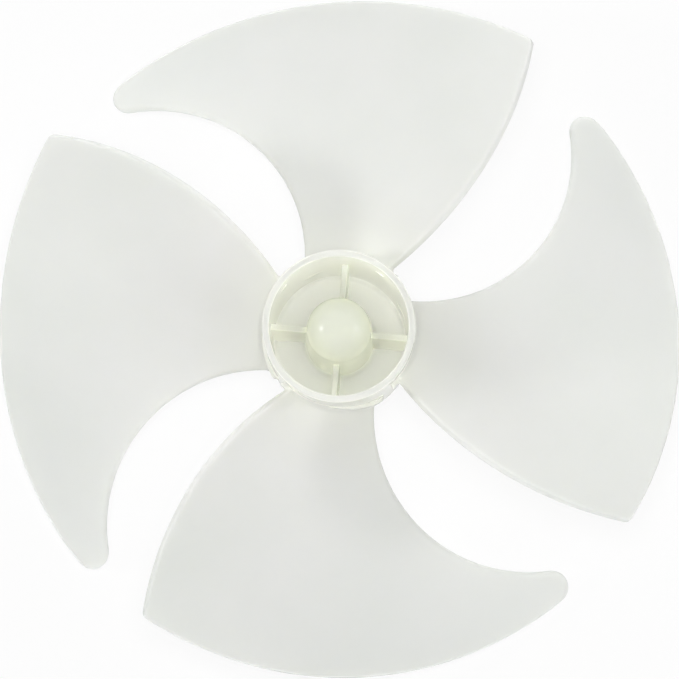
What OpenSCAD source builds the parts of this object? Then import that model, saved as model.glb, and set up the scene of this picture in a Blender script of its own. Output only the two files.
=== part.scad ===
// Evaporator fan blade: a four-bladed axial fan moulded in one piece, with a
// cup-shaped hub, a domed shaft boss on four ribs and swept sickle blades.
// Lengths are in millimetres and angles in degrees. Z is the axis of rotation,
// Z = 0 is the back face of the hub, +Z points out of the open side of the hub,
// and the first blade grows along +Y. The fan turns anticlockwise seen from +Z.

/* [Hub] */
// Outer diameter of the hub at its open rim
hub_d = 24.2; // [20:0.1:30]
// Height of the hub, from its back face to the rim
hub_h = 25; // [20:0.2:32]
// Wall thickness at the rim
hub_wall = 1.1; // [0.9:0.1:2]
// Draft of the hub wall, on its outside and on its inside
hub_draft = 1; // [0:0.25:2]
// Thickness of the hub floor
floor_t = 2; // [1.2:0.1:4]
// Rounding of the hub's back edge
back_edge_r = 1; // [0.3:0.1:1.8]
// Rounding of the two edges of the rim
rim_edge_r = 0.35; // [0.1:0.05:0.4]
// Fillet inside the cup, round the floor
floor_fillet = 0.8; // [0.2:0.1:1.2]

/* [Boss and ribs] */
// Diameter of the boss under its dome
boss_d = 10.2; // [8:0.1:13]
// Draft of the boss's side
boss_draft = 1; // [0:0.1:2]
// Height of the foot of the dome above the back face
dome_z = 19; // [14:0.2:22]
// Diameter of the blind bore for the motor shaft
shaft_d = 3.17; // [2:0.01:6]
// Depth of the bore from the back face
bore_depth = 16; // [8:0.5:20]
// Lead-in chamfer at the mouth of the bore
bore_chamfer = 0.4; // [0.1:0.05:1]
// Number of ribs between the boss and the hub wall
rib_count = 4; // [3:1:6]
// Turn of the ribs from the X and Y axes
rib_turn = -5; // [-45:1:45]
// Thickness of a rib along its top
rib_t = 0.9; // [0.6:0.1:2]
// Draft of a rib's sides
rib_draft = 0.75; // [0:0.25:2]
// Height of the top of the ribs above the back face
rib_z = 15.6; // [6:0.2:18]

/* [Blade outline] */
// Number of blades
blade_count = 4; // [3:1:5]
// Diameter of the circle that the blade tips sweep
fan_d = 110; // [90:1:135]
// Leading edge at the hub, as an angle from the blade's axis
lead_root_a = 27.7; // [23:0.1:33]
// Leading edge at the tip circle, before the horn is rounded
lead_tip_a = 54.2; // [49:0.1:58]
// Angle that the leading edge's arc turns through
lead_turn = 133; // [110:1:136]
// Trailing edge at the hub, as an angle from the blade's axis
trail_root_a = -39.9; // [-44:0.1:-34]
// Trailing edge at the tip circle
trail_tip_a = -34; // [-39:0.1:-29]
// Angle that the trailing edge's arc turns through
trail_turn = 44.5; // [30:0.5:60]
// Rounding of the horn, where the leading edge meets the tip circle
horn_r = 2.8; // [1.5:0.1:3.5]
// Rounding of the corner where the trailing edge meets the tip circle
corner_r = 0.8; // [0.4:0.1:2]
// How far the middle of the outer edge lies inside the tip circle
tip_dip = 0.8; // [0:0.1:1.5]

/* [Blade heights and camber] */
// Height of the leading edge above the back face, at the hub
lead_root_z = 10.7; // [9:0.1:13]
// Height of the leading edge above the back face, at mid span
lead_mid_z = 6.6; // [4:0.1:9]
// Height of the leading edge above the back face, at the tip
lead_tip_z = 2; // [1.5:0.1:6]
// Drop of the trailing edge below the rim, at the hub
trail_root_drop = 5.8; // [2:0.1:8]
// Drop of the trailing edge below the rim, at mid span (negative is above it)
trail_mid_drop = -2; // [-3:0.1:3]
// Drop of the trailing edge below the rim, at the tip
trail_tip_drop = 2.5; // [0:0.1:6]
// Camber at the hub: 0 is a straight section, 1 a full parabola
root_camber = 0.1; // [0:0.1:1]
// Camber at the tip
tip_camber = 1.5; // [0.3:0.1:1.6]

/* [Blade thickness and edges] */
// Blade thickness at the hub
root_t = 1.4; // [1:0.1:2.5]
// Blade thickness at the tip
tip_t = 1.2; // [0.8:0.1:2]
// Width over which the leading edge thins to its rounded nose
nose_w = 1; // [0.4:0.1:1.5]
// Rounding of the trailing and outer edges
edge_r = 0.35; // [0.1:0.05:0.6]
// Share of the thickness left flat along the trailing and outer edges
edge_land = 0.5; // [0.2:0.05:0.8]
// Fillet between the blades and the hub
root_fillet = 1; // [0.3:0.1:1.5]

/* [Hidden] */
$fn = 96;

// Smoothness of the lofted blades: steps over each part of a section and of the span
nose_steps = 4;
chord_steps = 12;
edge_steps = 2;
fillet_steps = 4;
span_steps = 12;
tip_steps = 9;
// Steps in a rounded corner and in the dome of the turned profile
round_steps = 4;
dome_steps = 14;
// Small step for slopes, and the overlap that joins one shape to the next
tiny = 0.02;
lap = 0.5;

hub_r = hub_d / 2;
inner_r = hub_r - hub_wall;
back_r = hub_r - hub_h * tan(hub_draft);
floor_r = inner_r - (hub_h - floor_t) * tan(hub_draft);
boss_r = boss_d / 2;
boss_foot_r = boss_r + (dome_z - floor_t) * tan(boss_draft);
tip_r = fan_d / 2;
// Where the loft starts, inside the hub wall, and where its tip zone starts
seat_r = hub_r - hub_wall / 2;
tip_zone = 2 * horn_r;

// Plan of a blade

// Point at radius r and at angle a, anticlockwise from +Y
function polar(r, a) = [-r * sin(a), r * cos(a)];
function bearing(p) = atan2(-p.x, p.y);

// Arc [centre, radius] from the hub at a0 to the tip circle at a1
function edge_arc(a0, a1, turn) =
    let (p = polar(hub_r, a0), q = polar(tip_r, a1), half = norm(q - p) / 2,
         side = [p.y - q.y, q.x - p.x] / (2 * half))
    [(p + q) / 2 + side * half / tan(turn / 2), half / sin(turn / 2)];

// Angle at which the circle of radius r about the axis crosses an arc
function crossing(arc, r) =
    let (d = norm(arc[0]))
    bearing(arc[0]) - acos((r * r + d * d - arc[1] * arc[1]) / (2 * r * d));

// Rounding between an edge and the tip circle: [radius of its centre, angle of
// its centre, radius at which it leaves the edge, its own radius]; side is 1
// for a rounding outside the edge's arc and -1 for one inside it
function rounding(arc, r, side) =
    let (c = tip_r - r, a = crossing([arc[0], arc[1] + side * r], c),
         start = arc[0] + (polar(c, a) - arc[0]) * arc[1] / (arc[1] + side * r))
    [c, a, norm(start), r];

// Half the angle that the rounding covers at radius r
function reach(round, r) =
    acos(min(1, (r * r + round[0] * round[0] - round[3] * round[3]) / (2 * r * round[0])));

lead = edge_arc(lead_root_a, lead_tip_a, lead_turn);
trail = edge_arc(trail_root_a, trail_tip_a, trail_turn);
horn = rounding(lead, horn_r, 1);
corner = rounding(trail, corner_r, -1);

function lead_a(r) = r < horn[2] ? crossing(lead, r) : horn[1] + reach(horn, r);
function trail_a(r) = r < corner[2] ? crossing(trail, r) : corner[1] - reach(corner, r);

// Middle face of a blade

function along(r) = (r - hub_r) / (tip_r - hub_r);

// Smooth curve through three values, at the hub, at mid span and at the tip
function through(root, mid, tip, s) =
    root * (1 - s) * (1 - 2 * s) + 4 * mid * s * (1 - s) + tip * s * (2 * s - 1);
function lead_z(r) = through(lead_root_z, lead_mid_z, lead_tip_z, along(r));
function trail_z(r) =
    hub_h - through(trail_root_drop, trail_mid_drop, trail_tip_drop, along(r));

// The root leans in with the drafted hub wall, so that the fillet ends on it
function mid_point(r, a) =
    let (s = along(r), from = crossing(lead, r), to = crossing(trail, r),
         u = (from - a) / (from - to),
         camber = root_camber + (tip_camber - root_camber) * s,
         rise = (1 - camber) * u + camber * u * u,
         z = lead_z(r) + (trail_z(r) - lead_z(r)) * rise,
         dip = tip_dip * 4 * u * (1 - u) * pow(max(0, s), 3),
         lean = (hub_h - z) * tan(hub_draft) * min(1, 1 - s),
         p = polar(r - dip - lean, a))
    [p.x, p.y, z];

function normal(r, a) =
    let (v = cross(mid_point(r + tiny, a) - mid_point(r - tiny, a),
                   mid_point(r, a + tiny) - mid_point(r, a - tiny)))
    v / norm(v);

// Thickness of a blade

// Root fillet added at radius r, and the rounded share of the thickness that is
// left at a distance from an edge that is rounded over a width
function flare(r) =
    let (d = root_fillet - max(0, r - hub_r))
    d > 0 ? root_fillet - sqrt(root_fillet * root_fillet - d * d) : 0;
function rounded(d, width) = d < width ? sqrt(1 - pow(1 - d / width, 2)) : 1;
function landed(d) = edge_land + (1 - edge_land) * rounded(d, edge_r);
function half_t(r) =
    (root_t + (tip_t - root_t) * along(r)) / 2 * landed(tip_r - r) + flare(r);

// Turn in degrees for a distance d measured square to an edge; slope is the
// edge's change of angle per millimetre of radius
function turn_for(d, slope, r) =
    let (lean = r * slope * PI / 180)
    d * min(4, sqrt(1 + lean * lean)) / r * 180 / PI;

// A section is a list of [angle, share of the half thickness] at radius r, from
// the nose to the trailing edge
function section(r) =
    let (slope_l = (lead_a(r) - lead_a(r - tiny)) / tiny,
         slope_t = (trail_a(r) - trail_a(r - tiny)) / tiny,
         a0 = lead_a(r) + turn_for(flare(r), slope_l, r),
         a1 = trail_a(r) - turn_for(flare(r), slope_t, r),
         nose_end = a0 - turn_for(nose_w, slope_l, r),
         tail_start = a1 + turn_for(edge_r, slope_t, r))
    concat(
        [for (i = [0:nose_steps]) let (w = 90 * i / nose_steps)
            [a0 - turn_for(nose_w * (1 - cos(w)), slope_l, r), sin(w)]],
        [for (i = [1:chord_steps - 1])
            [nose_end + (tail_start - nose_end) * i / chord_steps, 1]],
        [for (i = [edge_steps:-1:0]) let (w = 90 * i / edge_steps)
            [a1 + turn_for(edge_r * (1 - cos(w)), slope_t, r), landed(edge_r * (1 - cos(w)))]]);

// Loop of points round a section: the upper side from the nose to the trailing
// edge, then the lower side back, without the shared nose point
function section_loop(r) =
    let (cut = section(r), last = len(cut) - 1)
    concat(
        [for (c = cut) mid_point(r, c[0]) + normal(r, c[0]) * half_t(r) * c[1]],
        [for (i = [last:-1:1]) let (c = cut[i])
            mid_point(r, c[0]) - normal(r, c[0]) * half_t(r) * c[1]]);

// Radii of the sections: one inside the wall, then the fillet, the span and the tip
rows = concat(
    [seat_r],
    [for (i = [0:fillet_steps]) hub_r + root_fillet * (1 - cos(90 * i / fillet_steps))],
    [for (i = [1:span_steps])
        let (from = hub_r + root_fillet, to = tip_r - tip_zone)
        from + (to - from) * i / span_steps],
    [for (i = [1:tip_steps]) tip_r - tip_zone * (1 - sin(90 * i / tip_steps))]);

module blade() {
    loops = [for (r = rows) section_loop(r)];
    n = len(loops[0]);
    m = len(rows) - 1;
    sides = [for (j = [0:m - 1], i = [0:n - 1])
        let (k = (i + 1) % n)
        each [[j * n + i, (j + 1) * n + k, j * n + k], [j * n + i, (j + 1) * n + i, (j + 1) * n + k]]];
    // The root and the tip are closed by a strip between the two sides
    half = (n - 1) / 2;
    strip = [for (i = [0:half - 1])
        each (i == 0 ? [[0, 1, n - 1]]
                     : [[i, n - i - 1, n - i], [i, i + 1, n - i - 1]])];
    polyhedron(
        points = [for (loop = loops) each loop],
        faces = concat(sides, strip, [for (f = strip) [for (i = [2:-1:0]) f[i] + m * n]]));
}

// Turned profile of the cup and its boss

// Points of a rounded corner about c, from angle a0 to angle a1
function arc_points(c, r, a0, a1, steps) =
    [for (i = [0:steps]) let (a = a0 + (a1 - a0) * i / steps) c + r * [cos(a), sin(a)]];

module hub_profile() {
    polygon(concat(
        [[0, 0]],
        arc_points([back_r - back_edge_r, back_edge_r], back_edge_r, -90, 0, round_steps),
        arc_points([hub_r - rim_edge_r, hub_h - rim_edge_r], rim_edge_r, 0, 90, round_steps),
        arc_points([inner_r + rim_edge_r, hub_h - rim_edge_r], rim_edge_r, 90, 180, round_steps),
        arc_points([floor_r - floor_fillet, floor_t + floor_fillet], floor_fillet, 0, -90, round_steps),
        arc_points([boss_foot_r + floor_fillet, floor_t + floor_fillet], floor_fillet, -90, -180,
                   round_steps),
        arc_points([0, dome_z], boss_r, 0, 90, dome_steps)));
}

module rib() {
    foot_z = floor_t - lap;
    foot_t = rib_t + 2 * (rib_z - foot_z) * tan(rib_draft);
    intersection() {
        translate([boss_r - lap, 0, 0])
            rotate([90, 0, 90])
                linear_extrude(height = seat_r - boss_r + lap)
                    polygon([[-foot_t / 2, foot_z], [foot_t / 2, foot_z],
                             [rib_t / 2, rib_z], [-rib_t / 2, rib_z]]);
        // It ends in the middle of the drafted wall
        cylinder(h = hub_h, r1 = back_r - hub_wall / 2, r2 = seat_r);
    }
}

module shaft_bore() {
    translate([0, 0, -lap])
        cylinder(d = shaft_d, h = bore_depth + lap);
    translate([0, 0, -lap])
        cylinder(d1 = shaft_d + 2 * (bore_chamfer + lap), d2 = shaft_d, h = bore_chamfer + lap);
}

module fan_blade() {
    color("#E9ECE2")
        difference() {
            union() {
                rotate_extrude()
                    hub_profile();
                for (k = [0:rib_count - 1])
                    rotate(rib_turn + k * 360 / rib_count)
                        rib();
                for (k = [0:blade_count - 1])
                    rotate(k * 360 / blade_count)
                        blade();
            }
            shaft_bore();
        }
}

fan_blade();
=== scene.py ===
# Evaporator fan blade, moulded in one shot from natural polypropylene: a cup-shaped
# hub with a domed shaft boss on four ribs, and four forward-swept sickle blades.
# It lies on the back face of its hub, on a white table, under five softboxes.
import math
import bpy
import bmesh
from mathutils import Matrix, Vector


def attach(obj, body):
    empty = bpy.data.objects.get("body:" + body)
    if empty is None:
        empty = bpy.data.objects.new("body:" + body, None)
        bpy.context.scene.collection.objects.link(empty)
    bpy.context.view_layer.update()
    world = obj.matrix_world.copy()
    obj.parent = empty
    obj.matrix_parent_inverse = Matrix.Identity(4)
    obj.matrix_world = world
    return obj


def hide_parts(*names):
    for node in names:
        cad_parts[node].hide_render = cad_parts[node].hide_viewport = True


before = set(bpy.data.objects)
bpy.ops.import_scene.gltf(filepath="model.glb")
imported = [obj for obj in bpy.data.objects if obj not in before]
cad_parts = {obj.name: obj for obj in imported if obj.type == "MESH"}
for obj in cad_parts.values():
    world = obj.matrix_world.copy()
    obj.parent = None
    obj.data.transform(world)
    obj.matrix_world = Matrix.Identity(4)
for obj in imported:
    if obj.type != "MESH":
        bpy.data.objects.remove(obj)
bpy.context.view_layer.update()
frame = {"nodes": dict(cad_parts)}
mm = 0.001
print("frame loaded:", ", ".join(frame["nodes"]))


def sinD(a):
    return math.sin(math.radians(a))


def cosD(a):
    return math.cos(math.radians(a))


def srgb(hexColour):
    # "#rrggbb" to linear RGBA
    out = []
    for i in (1, 3, 5):
        c = int(hexColour[i:i + 2], 16) / 255
        out.append(c / 12.92 if c <= 0.04045 else ((c + 0.055) / 1.055) ** 2.4)
    return (*out, 1.0)


def meshObject(name, points, faces):
    # points in mm
    mesh = bpy.data.meshes.new(name)
    mesh.from_pydata([[c * mm for c in p] for p in points], [], faces)
    mesh.validate()
    obj = bpy.data.objects.new(name, mesh)
    bpy.context.scene.collection.objects.link(obj)
    return obj


# Blades, in mm and degrees: angles run anticlockwise from +Y, heights from the hub's back
# face. Seen along the axis, each edge is an arc from its angle at the hub to its angle at
# the tip, bent through its turn
blade = {
    "count": 4,
    "fanDiameter": 110,
    "leadRoot": 27.7, "leadTip": 54.2, "leadTurn": 133,
    "trailRoot": -39.9, "trailTip": -34, "trailTurn": 44.5,
    "hornRadius": 2.8, "cornerRadius": 0.8,
    "tipDip": 0.8,                          # how far the tip bows in towards the axis
    "leadHeights": (10.7, 6.6, 2),          # at the hub, mid span and tip
    "trailDrops": (5.8, -2, 2.5),           # below the rim, the same three places
    "camber": (0.1, 1.5),                   # hub, tip
    "thickness": (1.4, 1.2),                # hub, tip
    "noseWidth": 1.0, "edgeRadius": 0.35,   # rounds of the leading and of the other edges
    "edgeLand": 0.5,                        # share of the thickness that an edge keeps
    "slantLimit": 4,                        # most that a slanting edge widens its round
    "rootFillet": 1,
    "noseSteps": 9, "chordSteps": 40, "edgeSteps": 5,
    "filletSteps": 10, "spanSteps": 40, "tipSteps": 18,
}
# Hub, boss and ribs, in mm and degrees. They stand here because the blades' roots follow
# the hub's drafted wall
hub = {
    "diameter": 24.2, "height": 25, "wall": 1.1, "draft": 1,
    "floor": 2, "backEdge": 1, "rimEdge": 0.35, "floorFillet": 0.8,
    "bossDiameter": 10.2, "bossDraft": 1, "domeFoot": 19,
    "shaftDiameter": 3.17, "boreDepth": 16, "boreChamfer": 0.4,
    "ribCount": 4, "ribTurn": -5, "ribThickness": 0.9, "ribDraft": 0.75, "ribTop": 15.6,
    "ribEdge": 0.18,                        # round along a rib's top
    "ribSink": 0.5,                         # how far a rib runs into the boss and the floor
    "turnSteps": 256, "cornerSteps": 8, "domeSteps": 28,
    "ribHeightSteps": 12, "ribEdgeSteps": 3, "ribLengthSteps": 8,
    "longestStep": 1.0,
}

hubR = hub["diameter"] / 2
tipR = blade["fanDiameter"] / 2
wallSlope = math.tan(math.radians(hub["draft"]))


def polar(r, a):
    return Vector((-r * sinD(a), r * cosD(a)))


def bearing(p):
    return math.degrees(math.atan2(-p.x, p.y))


def edgeArc(a0, a1, turn):
    # (centre, radius) of the arc from the hub at a0 to the tip circle at a1
    p, q = polar(hubR, a0), polar(tipR, a1)
    half = (q - p).length / 2
    side = Vector((p.y - q.y, q.x - p.x)) / (2 * half)
    return (p + q) / 2 + side * half / math.tan(math.radians(turn / 2)), half / sinD(turn / 2)


def crossing(arc, r):
    # angle at which the arc is r off the axis
    d = arc[0].length
    return bearing(arc[0]) - math.degrees(math.acos((r * r + d * d - arc[1] ** 2) / (2 * r * d)))


def rounding(arc, r, side):
    # (centre's radius and angle, radius where it leaves the edge, its own radius)
    c = tipR - r
    a = crossing((arc[0], arc[1] + side * r), c)
    start = arc[0] + (polar(c, a) - arc[0]) * arc[1] / (arc[1] + side * r)
    return c, a, start.length, r


def reach(roundOff, r):
    # angle from a rounding's centre to its edge, r off the axis
    c = (r * r + roundOff[0] ** 2 - roundOff[3] ** 2) / (2 * r * roundOff[0])
    return math.degrees(math.acos(min(1, c)))


lead = edgeArc(blade["leadRoot"], blade["leadTip"], blade["leadTurn"])
trail = edgeArc(blade["trailRoot"], blade["trailTip"], blade["trailTurn"])
horn = rounding(lead, blade["hornRadius"], 1)
corner = rounding(trail, blade["cornerRadius"], -1)


def leadAngle(r):
    return crossing(lead, r) if r < horn[2] else horn[1] + reach(horn, r)


def trailAngle(r):
    return crossing(trail, r) if r < corner[2] else corner[1] - reach(corner, r)


def along(r):
    # 0 at the hub, 1 at the tip
    return (r - hubR) / (tipR - hubR)


def through(three, s):
    # smooth curve through the values at the hub, mid span and tip
    root, mid, tip = three
    return root * (1 - s) * (1 - 2 * s) + 4 * mid * s * (1 - s) + tip * s * (2 * s - 1)


def midPoint(r, a):
    # the root leans in with the drafted hub wall, so that its fillet ends on the wall
    s = along(r)
    a0, a1 = crossing(lead, r), crossing(trail, r)
    u = (a0 - a) / (a0 - a1)
    camber = blade["camber"][0] + (blade["camber"][1] - blade["camber"][0]) * s
    rise = (1 - camber) * u + camber * u * u
    z0 = through(blade["leadHeights"], s)
    z1 = hub["height"] - through(blade["trailDrops"], s)
    z = z0 + (z1 - z0) * rise
    dip = blade["tipDip"] * 4 * u * (1 - u) * max(0, s) ** 3
    lean = (hub["height"] - z) * wallSlope * min(1, 1 - s)
    p = polar(r - dip - lean, a)
    return Vector((p.x, p.y, z))


def normalAt(r, a, tiny=0.02):
    return ((midPoint(r + tiny, a) - midPoint(r - tiny, a))
            .cross(midPoint(r, a + tiny) - midPoint(r, a - tiny))).normalized()


def flare(r):
    # half of the root fillet's extra thickness
    f = blade["rootFillet"]
    d = f - max(0, r - hubR)
    return f - math.sqrt(f * f - d * d) if d > 0 else 0


def landed(d):
    # share of the thickness at d from an edge, which ends in a flat land with round corners
    w = blade["edgeRadius"]
    roundShare = math.sqrt(1 - (1 - d / w) ** 2) if d < w else 1
    return blade["edgeLand"] + (1 - blade["edgeLand"]) * roundShare


def halfThickness(r):
    t = blade["thickness"][0] + (blade["thickness"][1] - blade["thickness"][0]) * along(r)
    return t / 2 * landed(tipR - r) + flare(r)


def turnFor(d, slope, r):
    # turn in degrees for a distance d square to an edge of that slope
    lean = math.radians(r * slope)
    return math.degrees(d * min(blade["slantLimit"], math.sqrt(1 + lean * lean)) / r)


def section(r, tiny=0.02):
    # (angle, share of the half thickness) from the nose to the trailing edge
    slopeL = (leadAngle(r) - leadAngle(r - tiny)) / tiny
    slopeT = (trailAngle(r) - trailAngle(r - tiny)) / tiny
    a0 = leadAngle(r) + turnFor(flare(r), slopeL, r)
    a1 = trailAngle(r) - turnFor(flare(r), slopeT, r)
    nose, edge = blade["noseWidth"], blade["edgeRadius"]
    noseEnd, tailStart = a0 - turnFor(nose, slopeL, r), a1 + turnFor(edge, slopeT, r)
    cut = []
    for i in range(blade["noseSteps"] + 1):
        w = 90 * i / blade["noseSteps"]
        cut.append((a0 - turnFor(nose * (1 - cosD(w)), slopeL, r), sinD(w)))
    for i in range(1, blade["chordSteps"]):
        cut.append((noseEnd + (tailStart - noseEnd) * i / blade["chordSteps"], 1))
    for i in range(blade["edgeSteps"], -1, -1):
        d = edge * (1 - cosD(90 * i / blade["edgeSteps"]))
        cut.append((a1 + turnFor(d, slopeT, r), landed(d)))
    return cut


def makeBlade(name, turn):
    # rows crowd where the root fillet starts and where the tip rounds off
    fillet, zone = blade["rootFillet"], 2 * blade["hornRadius"]
    rows = [hubR - hub["wall"] / 2]
    rows += [hubR + fillet * (1 - cosD(90 * i / blade["filletSteps"]))
             for i in range(blade["filletSteps"] + 1)]
    start, end = hubR + fillet, tipR - zone
    rows += [start + (end - start) * i / blade["spanSteps"] for i in range(1, blade["spanSteps"] + 1)]
    rows += [tipR - zone * (1 - sinD(90 * i / blade["tipSteps"])) for i in range(1, blade["tipSteps"] + 1)]
    points, faces = [], []
    spin = Matrix.Rotation(math.radians(turn), 3, "Z")
    for r in rows:
        cut = section(r)
        upper = [midPoint(r, a) + normalAt(r, a) * halfThickness(r) * s for a, s in cut]
        lower = [midPoint(r, a) - normalAt(r, a) * halfThickness(r) * s for a, s in cut[:0:-1]]
        points += [spin @ p for p in upper + lower]
    n = len(points) // len(rows)
    for j in range(len(rows) - 1):
        for i in range(n):
            k = (i + 1) % n
            faces.append((j * n + i, (j + 1) * n + i, (j + 1) * n + k, j * n + k))
    last = (len(rows) - 1) * n
    for i in range((n - 1) // 2):
        cap = (0, 1, n - 1) if i == 0 else (i, i + 1, n - i - 1, n - i)
        faces.append(cap)
        faces.append([c + last for c in reversed(cap)])
    return meshObject(name, points, faces)


blades = [makeBlade(f"blade{k}", k * 360 / blade["count"]) for k in range(blade["count"])]
print("blades lofted:", len(blades[0].data.polygons), "faces each")


def roundCorner(x, z, r, a0, a1, steps=hub["cornerSteps"]):
    return [(x + r * cosD(a0 + (a1 - a0) * i / steps), z + r * sinD(a0 + (a1 - a0) * i / steps))
            for i in range(steps + 1)]


def makeHub(name):
    h, back, rim, fillet = hub["height"], hub["backEdge"], hub["rimEdge"], hub["floorFillet"]
    backR = hubR - h * wallSlope
    innerR = hubR - hub["wall"]
    floorR = innerR - (h - hub["floor"]) * wallSlope
    bossR, foot = hub["bossDiameter"] / 2, hub["domeFoot"]
    bossFootR = bossR + (foot - hub["floor"]) * math.tan(math.radians(hub["bossDraft"]))
    boreR, depth, chamfer = hub["shaftDiameter"] / 2, hub["boreDepth"], hub["boreChamfer"]
    outline = [(0, depth), (boreR, depth), (boreR, chamfer), (boreR + chamfer, 0)]
    outline += roundCorner(backR - back, back, back, -90, 0)
    outline += roundCorner(hubR - rim, h - rim, rim, 0, 90)
    outline += roundCorner(innerR + rim, h - rim, rim, 90, 180)
    outline += roundCorner(floorR - fillet, hub["floor"] + fillet, fillet, 0, -90)
    outline += roundCorner(bossFootR + fillet, hub["floor"] + fillet, fillet, -90, -180)
    outline += roundCorner(0, foot, bossR, 0, 90, hub["domeSteps"])
    # long straight stretches are cut up, so that the blades join even faces
    profile = [outline[0]]
    for (x0, z0), (x1, z1) in zip(outline, outline[1:]):
        cuts = max(1, math.ceil(math.hypot(x1 - x0, z1 - z0) / hub["longestStep"]))
        profile += [(x0 + (x1 - x0) * i / cuts, z0 + (z1 - z0) * i / cuts) for i in range(1, cuts + 1)]
    steps = hub["turnSteps"]
    points = [(0, 0, profile[0][1])]
    for x, z in profile[1:-1]:
        points += [(x * cosD(360 * i / steps), x * sinD(360 * i / steps), z) for i in range(steps)]
    points.append((0, 0, profile[-1][1]))
    rings, top = len(profile) - 2, len(points) - 1
    faces = []
    for i in range(steps):
        k = (i + 1) % steps
        faces.append((0, 1 + k, 1 + i))
        for j in range(rings - 1):
            a, b = 1 + j * steps, 1 + (j + 1) * steps
            faces.append((a + i, a + k, b + k, b + i))
        a = 1 + (rings - 1) * steps
        faces.append((a + i, a + k, top))
    return meshObject(name, points, faces)


def makeRib(name, turn):
    # from inside the boss to the middle of the wall, drafted, with a small round along its top
    top, sink, edge = hub["ribTop"], hub["ribSink"], hub["ribEdge"]
    low = hub["floor"] - sink
    r0, rimEnd = hub["bossDiameter"] / 2 - sink, hubR - hub["wall"] / 2
    t = hub["ribThickness"] / 2
    foot = t + (top - low) * math.tan(math.radians(hub["ribDraft"]))
    up, turns, cuts = hub["ribHeightSteps"], hub["ribEdgeSteps"], hub["ribLengthSteps"]
    half = [(foot, low)] + [(foot + (t - foot) * i / up, low + (top - edge - low) * i / up)
                            for i in range(1, up + 1)]
    half += [(t - edge + edge * cosD(90 * i / turns), top - edge + edge * sinD(90 * i / turns))
             for i in range(1, turns + 1)]
    outline = half + [(-y, z) for y, z in reversed(half)]
    n = len(outline)
    spin = Matrix.Rotation(math.radians(turn), 3, "Z")
    points = []
    for j in range(cuts + 1):
        for y, z in outline:
            r1 = rimEnd - (hub["height"] - z) * wallSlope
            points.append(spin @ Vector((r0 + (r1 - r0) * j / cuts, y, z)))
    faces = [(j * n + i, (j + 1) * n + i, (j + 1) * n + (i + 1) % n, j * n + (i + 1) % n)
             for j in range(cuts) for i in range(n)]
    faces.append(tuple(range(n)))
    faces.append(tuple(reversed(range(cuts * n, (cuts + 1) * n))))
    return meshObject(name, points, faces)


fanBlade = makeHub("fanBlade")
ribs = [makeRib(f"rib{k}", hub["ribTurn"] + k * 360 / hub["ribCount"]) for k in range(hub["ribCount"])]
print("hub turned, ribs made:", len(fanBlade.data.polygons), "and", len(ribs[0].data.polygons), "faces each")

# Joining them, in mm and degrees: closer points are welded, shorter edges go, and an edge
# is drawn sharp where the skin bends more
seam = {"weld": 0.002, "shortestEdge": 0.001, "sharpFrom": 38}


def outward(obj):
    bm = bmesh.new()
    bm.from_mesh(obj.data)
    bmesh.ops.recalc_face_normals(bm, faces=bm.faces)
    bm.to_mesh(obj.data)
    bm.free()


def joinAll(base, others, s):
    # one closed skin, as the one shot of plastic it is
    for obj in [base] + others:
        outward(obj)
    for obj in others:
        join = base.modifiers.new("join", "BOOLEAN")
        join.operation, join.solver, join.object = "UNION", "MANIFOLD", obj
    whole = bpy.data.meshes.new_from_object(base.evaluated_get(bpy.context.evaluated_depsgraph_get()))
    base.modifiers.clear()
    base.data = whole
    for obj in others:
        bpy.data.objects.remove(obj)
    bm = bmesh.new()
    bm.from_mesh(whole)
    bmesh.ops.remove_doubles(bm, verts=bm.verts, dist=s["weld"] * mm)
    bmesh.ops.dissolve_degenerate(bm, edges=bm.edges, dist=s["shortestEdge"] * mm)
    bmesh.ops.triangulate(bm, faces=[f for f in bm.faces if len(f.verts) > 4])
    loose = [e for e in bm.edges if len(e.link_faces) != 2]
    bm.to_mesh(whole)
    bm.free()
    whole.shade_smooth()
    whole.set_sharp_from_angle(angle=math.radians(s["sharpFrom"]))
    print("one skin:", len(whole.polygons), "faces,", len(loose), "open edges")


joinAll(fanBlade, ribs + blades, seam)


def addNode(tree, kind, links=(), **settings):
    # a node with its settings, and links as (input, other node, output)
    node = tree.nodes.new(kind)
    for key, value in settings.items():
        if key in node.inputs:
            node.inputs[key].default_value = value
        else:
            setattr(node, key, value)
    for socket, other, output in links:
        tree.links.new(other.outputs[output], node.inputs[socket])
    return node


# Natural polypropylene, moulded in a polished tool: milky, with a satin gloss. Light
# travels inside it, so that the cup's walls, floor and ribs soften into each other. The
# thicker the plastic, the greener it looks: most in the solid boss, least in the blades.
# The boss is also painted darker, as painted shade that offsets the extra light it gathers
# from its deep light travel, and the blades are painted darker towards their tips, as
# painted shade for their low outer parts near the table.
polypropylene = {
    # by mm off the axis, from the boss over the cup to the blades: its colour, which holds
    # painted shade in the boss and towards the blade tips, and the mm that light travels inside it
    "colours": [(5.2, "#E1E3DB"), (6.0, "#F3F3ED"), (12, "#F3F3ED"), (24, "#F7F7F5"), (50, "#F1F2F0")],
    "depths": [(5.2, 18), (6.0, 9), (11.1, 9), (12.2, 1.3)],
    "depthShares": (1.0, 1.0, 0.85),    # of red, green and blue light
    "cloudColour": "#F8FAF8",
    "cloudSize": 22,           # mm, faint clouding of the melt
    "roughness": (0.18, 0.23),
    "ior": 1.49,
    "grain": 0.35,             # mm, fine orange-peel of the skin
    "grainDepth": 0.0025,      # mm
}


def offAxisRamp(tree, offAxis, stops):
    # a ramp over the distance from the axis, with stops as (mm, colour)
    end = stops[-1][0]
    share = addNode(tree, "ShaderNodeMapRange", [("Value", offAxis, "Value")], **{"From Max": end * mm})
    ramp = addNode(tree, "ShaderNodeValToRGB", [("Fac", share, "Result")])
    marks = ramp.color_ramp.elements
    marks[0].position, marks[0].color = stops[0][0] / end, stops[0][1]
    marks[1].position, marks[1].color = 1.0, stops[-1][1]
    for r, value in stops[1:-1]:
        marks.new(r / end).color = value
    return ramp


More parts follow.
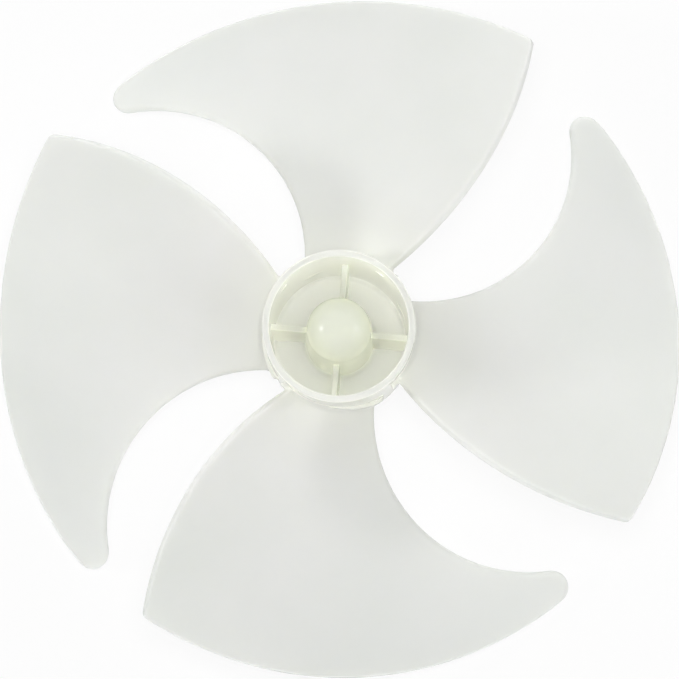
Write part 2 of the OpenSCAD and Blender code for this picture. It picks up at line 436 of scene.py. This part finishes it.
def makePolypropylene(p):
    material = bpy.data.materials.new("naturalPolypropylene")
    material.use_nodes = True
    tree = material.node_tree
    tree.nodes.clear()
    place = addNode(tree, "ShaderNodeTexCoord")
    flat = addNode(tree, "ShaderNodeVectorMath", [(0, place, "Object")], operation="MULTIPLY")
    flat.inputs[1].default_value = (1, 1, 0)
    offAxis = addNode(tree, "ShaderNodeVectorMath", [(0, flat, 0)], operation="LENGTH")
    # colour by distance off the axis: the boss's and the blade tips' darker colours are painted shade
    shade = offAxisRamp(tree, offAxis, [(r, srgb(c)) for r, c in p["colours"]])
    cloud = addNode(tree, "ShaderNodeTexNoise", [("Vector", place, "Object")],
                    **{"Scale": 1 / (p["cloudSize"] * mm), "Detail": 3.0, "Roughness": 0.45})
    veil = addNode(tree, "ShaderNodeMapRange", [("Value", cloud, "Fac")],
                   **{"From Min": 0.2, "From Max": 0.8})
    clouded = addNode(tree, "ShaderNodeMix", [("Factor", veil, "Result"), (6, shade, "Color")],
                      data_type="RGBA", blend_type="MULTIPLY")
    clouded.inputs[7].default_value = srgb(p["cloudColour"])
    deepest = max(d for r, d in p["depths"])
    greys = [(r, (d / deepest, d / deepest, d / deepest, 1)) for r, d in p["depths"]]
    share = offAxisRamp(tree, offAxis, greys)
    depth = addNode(tree, "ShaderNodeMapRange", [("Value", share, "Color")], **{"To Max": deepest * mm})
    sheen = addNode(tree, "ShaderNodeMapRange", [("Value", cloud, "Fac")],
                    **{"To Min": p["roughness"][0], "To Max": p["roughness"][1]})
    grain = addNode(tree, "ShaderNodeTexNoise", [("Vector", place, "Object")],
                    **{"Scale": 1 / (p["grain"] * mm), "Detail": 2.0, "Roughness": 0.5})
    bump = addNode(tree, "ShaderNodeBump", [("Height", grain, "Fac")],
                   **{"Strength": 1.0, "Distance": p["grainDepth"] * mm})
    skin = addNode(tree, "ShaderNodeBsdfPrincipled",
                   [("Base Color", clouded, 2), ("Roughness", sheen, "Result"), ("Normal", bump, "Normal"),
                    ("Subsurface Scale", depth, "Result")],
                   **{"IOR": p["ior"], "Subsurface Weight": 1.0, "Subsurface Radius": p["depthShares"]})
    skin.subsurface_method = "BURLEY"
    addNode(tree, "ShaderNodeOutputMaterial", [("Surface", skin, "BSDF")])
    return material


fanBlade.data.materials.clear()
fanBlade.data.materials.append(makePolypropylene(polypropylene))
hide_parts("fan_blade")
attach(fanBlade, "root")
print("material set")

# Table and light: power in W, distance and size in m, angles in degrees off the fan's
# axis, and the way from it anticlockwise from +X
studio = {
    "tableColour": "#FFFFFF",
    "tableSize": 6.0,
    "tableGap": 0.02,           # mm under the hub's back face, so that the two don't flicker
    "tableGlow": 0.88,          # share of the white that needs no light
    "world": 0.18,
    "softboxes": {
        "softboxAbove": {"power": 6.8, "distance": 1.2, "size": 0.35, "angle": 2, "way": -90},
        "softboxBack": {"power": 1.75, "distance": 0.7, "size": 0.3, "angle": 80, "way": 90},
        "softboxFront": {"power": 1.15, "distance": 0.7, "size": 0.3, "angle": 80, "way": -90},
        "softboxLeft": {"power": 0.9, "distance": 0.7, "size": 0.12, "angle": 65, "way": 178},
        "softboxRight": {"power": 0.68, "distance": 0.7, "size": 0.12, "angle": 65, "way": 2},
    },
    "inGloss": ["softboxLeft", "softboxRight"],     # the two small ones, which the boss mirrors
}


def seenDirectly(tree, ray):
    # 1 where a thing is seen: by the camera, in a reflection or through something clear
    seen = addNode(tree, "ShaderNodeMath", [(0, ray, "Is Camera Ray"), (1, ray, "Is Glossy Ray")],
                   operation="MAXIMUM")
    return addNode(tree, "ShaderNodeMath", [(0, seen, 0), (1, ray, "Is Transmission Ray")],
                   operation="MAXIMUM")


# White painted board: plain and matt, and it keeps the fan's shadow
def makeTable(s):
    half, low = s["tableSize"] / 2 / mm, -s["tableGap"]
    corners = [(x * half, y * half, low) for x, y in ((-1, -1), (1, -1), (1, 1), (-1, 1))]
    table = meshObject("table", corners, [(0, 1, 2, 3)])
    material = bpy.data.materials.new("whiteBoard")
    material.use_nodes = True
    tree = material.node_tree
    tree.nodes.clear()
    paint = addNode(tree, "ShaderNodeBsdfDiffuse", Color=srgb(s["tableColour"]))
    glow = addNode(tree, "ShaderNodeEmission", Color=srgb(s["tableColour"]), Strength=1.0)
    ray = addNode(tree, "ShaderNodeLightPath")
    share = addNode(tree, "ShaderNodeMath", [(0, seenDirectly(tree, ray), 0)], operation="MULTIPLY")
    share.inputs[1].default_value = s["tableGlow"]
    mixed = addNode(tree, "ShaderNodeMixShader",
                    [("Fac", share, 0), (1, paint, "BSDF"), (2, glow, "Emission")])
    # from underneath the camera looks through the table at the fan's back
    side = addNode(tree, "ShaderNodeNewGeometry")
    below = addNode(tree, "ShaderNodeMath", [(0, side, "Backfacing"), (1, ray, "Is Camera Ray")],
                    operation="MULTIPLY")
    clear = addNode(tree, "ShaderNodeBsdfTransparent")
    topOnly = addNode(tree, "ShaderNodeMixShader",
                      [("Fac", below, 0), (1, mixed, "Shader"), (2, clear, "BSDF")])
    addNode(tree, "ShaderNodeOutputMaterial", [("Surface", topOnly, "Shader")])
    table.data.materials.append(material)


def makeWorld(s):
    world = bpy.data.worlds.new("studio")
    bpy.context.scene.world = world
    world.use_nodes = True
    tree = world.node_tree
    tree.nodes.clear()
    fill = addNode(tree, "ShaderNodeBackground", Color=(1, 1, 1, 1), Strength=s["world"])
    white = addNode(tree, "ShaderNodeBackground", Color=(1, 1, 1, 1), Strength=1.0)
    seen = seenDirectly(tree, addNode(tree, "ShaderNodeLightPath"))
    mixed = addNode(tree, "ShaderNodeMixShader", [("Fac", seen, 0), (1, fill, 0), (2, white, 0)])
    addNode(tree, "ShaderNodeOutputWorld", [("Surface", mixed, 0)])


def makeSoftbox(name, s, inGloss):
    light = bpy.data.lights.new(name, "AREA")
    light.shape, light.size, light.energy = "SQUARE", s["size"], s["power"]
    obj = bpy.data.objects.new(name, light)
    bpy.context.scene.collection.objects.link(obj)
    flat = sinD(s["angle"])
    toward = Vector((flat * cosD(s["way"]), flat * sinD(s["way"]), cosD(s["angle"])))
    obj.location = toward * s["distance"]
    obj.rotation_euler = toward.to_track_quat("Z", "Y").to_euler()
    obj.visible_camera = False
    obj.visible_glossy = inGloss


makeTable(studio)
makeWorld(studio)
for name, box in studio["softboxes"].items():
    makeSoftbox(name, box, name in studio["inGloss"])

# Camera, looking almost straight down the fan's axis
view = {
    "distance": 1184,           # mm from the aim point
    "tilt": 6.37,               # degrees off the fan's axis
    "swing": -3.9,              # degrees round it, with +Y still up in the picture
    "aim": (0, 0, 10),          # mm
    "offset": (0.01, -0.51),    # mm right and up in the picture
    "pixelsPerMm": 6.28, "width": 679,
    "sensorWidth": 36,          # mm
}


def makeCamera(v):
    e, al = v["tilt"], v["swing"]
    away = Vector((-sinD(al) * sinD(e), -cosD(al) * sinD(e), cosD(e)))
    flat = Vector((cosD(al), -sinD(al), 0))
    rise = Vector((sinD(al) * cosD(e), cosD(al) * cosD(e), sinD(e)))
    right = flat * cosD(al) + rise * sinD(al)
    up = rise * cosD(al) - flat * sinD(al)
    camera = bpy.data.cameras.new("camera")
    camera.sensor_width = v["sensorWidth"]
    camera.lens = v["pixelsPerMm"] * v["distance"] / v["width"] * v["sensorWidth"]
    obj = bpy.data.objects.new("camera", camera)
    bpy.context.scene.collection.objects.link(obj)
    place = (Vector(v["aim"]) + right * v["offset"][0] + up * v["offset"][1] + away * v["distance"]) * mm
    obj.matrix_world = Matrix.Translation(place) @ Matrix((right, up, away)).transposed().to_4x4()
    bpy.context.scene.camera = obj


makeCamera(view)
bpy.context.scene.view_settings.view_transform = "Standard"
print("table, light and camera set")
